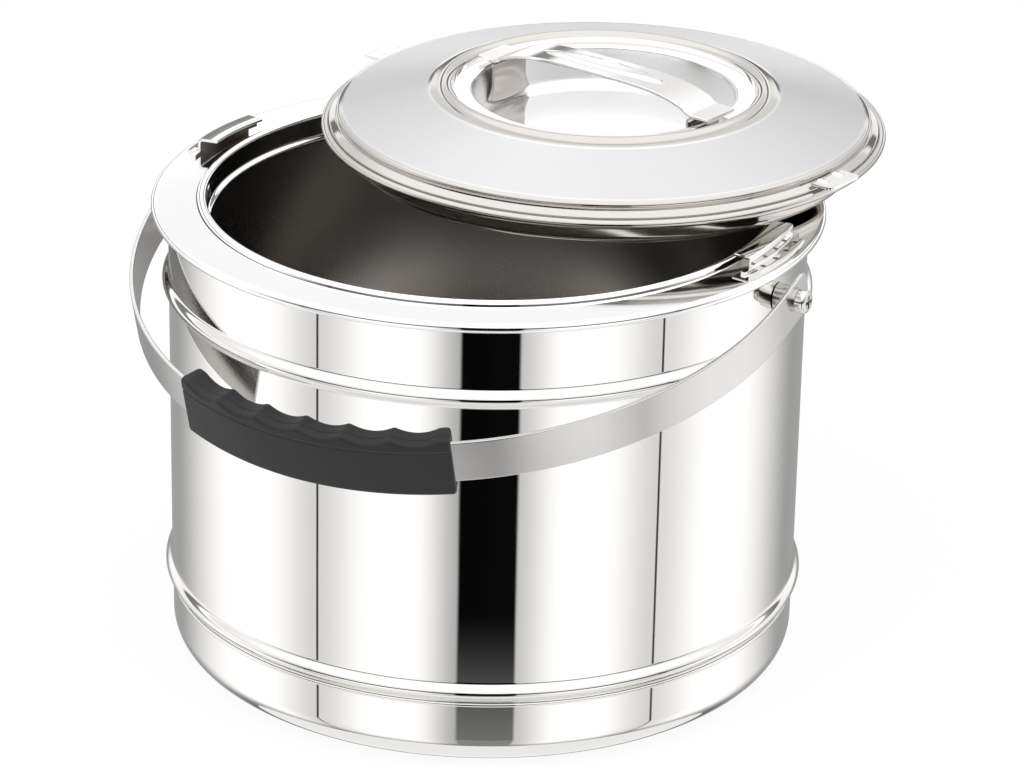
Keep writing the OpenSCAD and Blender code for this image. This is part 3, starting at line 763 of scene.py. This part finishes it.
def legOutline():
    g, foot = leg, []
    for i in range(-10, 11):
        y = g["footHalf"] * i / 10
        foot.append((y, dish(math.hypot(g["x"] + g["thick"], y)) + g["gap"]))
    low, side = foot[-1][1], []
    for k in range(1, 9):
        spread = (g["footHalf"] - g["topHalf"]) * (1 - k / 8) ** g["flare"]
        side.append((g["topHalf"] + spread, low + (g["shoulder"] - low) * k / 8))
    top = [(g["topHalf"], g["top"]), (-g["topHalf"], g["top"])]
    return foot + side + top + [(-y, z) for y, z in side[::-1]]


def legMesh(name, place):
    g, line, sections = leg, legOutline(), []
    for s in (0.0, 0.08, 0.25, g["thick"] - 0.25, g["thick"] - 0.08, g["thick"]):
        k = 1 - fallBack(min(s, g["thick"] - s), g["edge"]) / g["topHalf"]
        sections.append([(g["x"] + s, y * k, g["middle"] + (z - g["middle"]) * k) for y, z in line])
    return lofted(name, mats["leg"], place, sections)


for side, place in (("Right", lidPlace), ("Left", lidPlace @ halfTurn)):
    bracket = "handle_bracket_" + side.lower()
    finished(legMesh("leg" + side, place), "lid", "steel_sheet", bracket)
print("pressed pieces made")

# The CAD nodes that show as they are: bushes, screws, washers, plates, nuts and the foam
for name, node in nodes.items():
    look = "mirror"
    if name.endswith("insulation"):
        look = "foam"
    elif name.split("_")[0] in ("pivot", "backing", "lock") or name == "grip_screws":
        look = "hardware"
    node.data.materials.clear()
    node.data.materials.append(mats[look])
print("nodes painted:", len(nodes))

# Camera: aim in millimetres, in the frame that the pot is turned from
cam = dict(azimuth=27.8255, elevation=23.388, distance=1.85249, roll=1.1245)
cam.update(focal=4380.03, frameWidth=1024, sensor=36.0, aim=(11.132, 0.0, 113.073), turn=28.2)


# The direction to a place at this azimuth, seen from above, and elevation
def towards(azimuth, elevation):
    a, e = math.radians(azimuth), math.radians(elevation)
    return Vector((math.sin(a) * math.cos(e), -math.cos(a) * math.cos(e), math.sin(e)))


aim = upright(cam["turn"]) @ (Vector(cam["aim"]) / 1000)
back = towards(cam["azimuth"], cam["elevation"])
camera = bpy.data.objects.new("camera", bpy.data.cameras.new("camera"))
scene.collection.objects.link(camera)
scene.camera = camera
camera.data.sensor_width = cam["sensor"]
camera.data.lens = cam["focal"] / cam["frameWidth"] * cam["sensor"]
camera.data.clip_start, camera.data.clip_end = 0.01, 100.0
camera.rotation_mode = "QUATERNION"
camera.location = aim + back * cam["distance"]
look = (-back).to_track_quat("-Z", "Y").to_matrix()
look = look @ Matrix.Rotation(math.radians(cam["roll"]), 3, "Z")
camera.rotation_quaternion = look.to_quaternion()


def stageMaterial(name):
    m = bpy.data.materials.new(name)
    m.use_nodes = True
    m.node_tree.nodes.remove(m.node_tree.nodes["Principled BSDF"])
    return m, m.node_tree, m.node_tree.nodes["Material Output"].inputs[0]


# 1 where the camera, a reflection or glass sees the surface, and 1 in a reflection alone
def seenBy(tree):
    camRay = make(tree, "ShaderNodeLightPath", out="Is Camera Ray")
    outs = camRay.socket.node.outputs
    glossy, through = Val(tree, outs["Is Glossy Ray"]), Val(tree, outs["Is Transmission Ray"])
    return camRay.maths("MAXIMUM", glossy).maths("MAXIMUM", through), glossy


# A round tent of soft panels with dark gaps, seen only in reflections. Its heights are in metres
# from the middle of the floor, and its angles run to both sides from the black strip in front.
tent = dict(radius=2.6, low=-3.0, high=1.15, turn=29.9, strip=10.1, seam=62.4, white=1.28)
tentMat, tree, surface = stageMaterial("tentPanels")
px, py, pz = split(tree, make(tree, "ShaderNodeTexCoord", out="Object"))
signed = px.maths("ARCTAN2", -1.0 * py) * 57.2958
psi = signed.maths("ABSOLUTE")
right = signed.step(-2.0, 2.0)


# Full white on one side of a ramp in angle, and an own grey on each hand at its other side
def fade(a, b, greyLeft, greyRight):
    grey = greyLeft + (greyRight - greyLeft) * right
    return grey + (tent["white"] - grey) * psi.step(a, b)


frontPanel = fade(8.5, 27.0, 0.50, 0.66).maths("MINIMUM", fade(62.4, 40.0, 0.82, 0.80))
sidePanel = fade(61.6, 86.0, 0.80, 0.86)
dimLeft = 1 - 0.70 * psi.step(100.0, 152.0) * (1 - right)
dimRight = 1 - 0.70 * psi.step(98.0, 144.0) * right
sidePanel = sidePanel * (1 - (1 - dimLeft * dimRight) * (1 - pz.step(-0.2, 0.2)))
atSide = psi.step(tent["seam"] - 0.2, tent["seam"] + 0.2)
bright = frontPanel * (1 - atSide) + sidePanel * atSide
gap = (psi - tent["seam"]).maths("ABSOLUTE").step(0.3, 0.6)
strip = psi.step(tent["strip"] - 0.6, tent["strip"] + 0.8)
level = bright * (0.06 + 0.94 * gap) * (0.005 + 0.995 * strip)
level = level * (0.4 + 0.6 * pz.step(-2.95, -2.0))
dimming = 0.88 - 0.73 * psi.step(55.0, 95.0) - 0.15 * psi.step(120.0, 160.0)
level = level * (1 - pz.band(-0.3, 0.0, 0.75, 0.95) * dimming)
level = level * (1 - 0.8 * pz.band(0.62, 0.72, 0.94, 1.02) * psi.step(95.0, 125.0))
level = level + 0.28 * (1 - strip) * (1 - pz.step(-1.4, -1.15))
link(tree, make(tree, "ShaderNodeEmission", sockets={"Strength": level}), surface)
bpy.ops.mesh.primitive_cylinder_add(
    vertices=128, radius=tent["radius"], depth=tent["high"] - tent["low"], end_fill_type="NOTHING"
)
studioTent = bpy.context.object
studioTent.name = "studioTent"
studioTent.data.transform(Matrix.Translation((0, 0, (tent["high"] + tent["low"]) / 2)))
studioTent.rotation_euler = (0, 0, math.radians(tent["turn"]))
studioTent.data.materials.append(tentMat)

# Floor: white paper that keeps a trace of the object's shadow
paper = dict(size=30, z=-0.0006, colour=(0.93, 0.93, 0.93, 1), glow=0.9)
floorMat, tree, surface = stageMaterial("floorPaper")
diffuse = make(tree, "ShaderNodeBsdfDiffuse", sockets={"Color": paper["colour"]})
seen, glossy = seenBy(tree)
glow = make(tree, "ShaderNodeEmission")
link(tree, make(tree, "ShaderNodeMixShader", seen * paper["glow"], diffuse, glow), surface)
bpy.ops.mesh.primitive_plane_add(size=paper["size"], location=(0, 0, paper["z"]))
floor = bpy.context.object
floor.name = "floor"
floor.data.materials.append(floorMat)
studioTent.visible_camera = studioTent.visible_diffuse = False
studioTent.visible_shadow = studioTent.visible_transmission = False
floor.visible_glossy = False

# World: a soft white sky, brighter overhead in reflections
sky = dict(light=0.72, overhead=0.45, low=0.45, high=0.75)
world = bpy.data.worlds.new("world")
scene.world = world
world.use_nodes = True
tree = world.node_tree
seen, glossy = seenBy(tree)
height = split(tree, make(tree, "ShaderNodeTexCoord", out="Generated"))[2]
above = glossy * height.step(sky["low"], sky["high"])
strength = sky["light"] + (1 - sky["light"]) * seen + sky["overhead"] * above
link(tree, strength, tree.nodes["Background"].inputs["Strength"])
tree.nodes["Background"].inputs["Color"].default_value = (1, 1, 1, 1)


def softbox(name, azimuth, elevation, distance, size, power):
    light = bpy.data.lights.new(name, "AREA")
    light.size, light.energy = size, power
    lamp = bpy.data.objects.new(name, light)
    scene.collection.objects.link(lamp)
    d = towards(azimuth, elevation)
    lamp.location = Vector((0, 0, 0.1)) + d * distance
    lamp.rotation_mode = "QUATERNION"
    lamp.rotation_quaternion = (-d).to_track_quat("-Z", "Y")
    lamp.visible_glossy = False


softbox("lampTop", 28, 78, 2.0, 1.6, 22)
softbox("lampLeft", -25, 35, 2.2, 1.2, 12)
softbox("lampRight", 85, 35, 2.2, 1.2, 9)
scene.view_settings.view_transform = "Standard"
print("studio made")
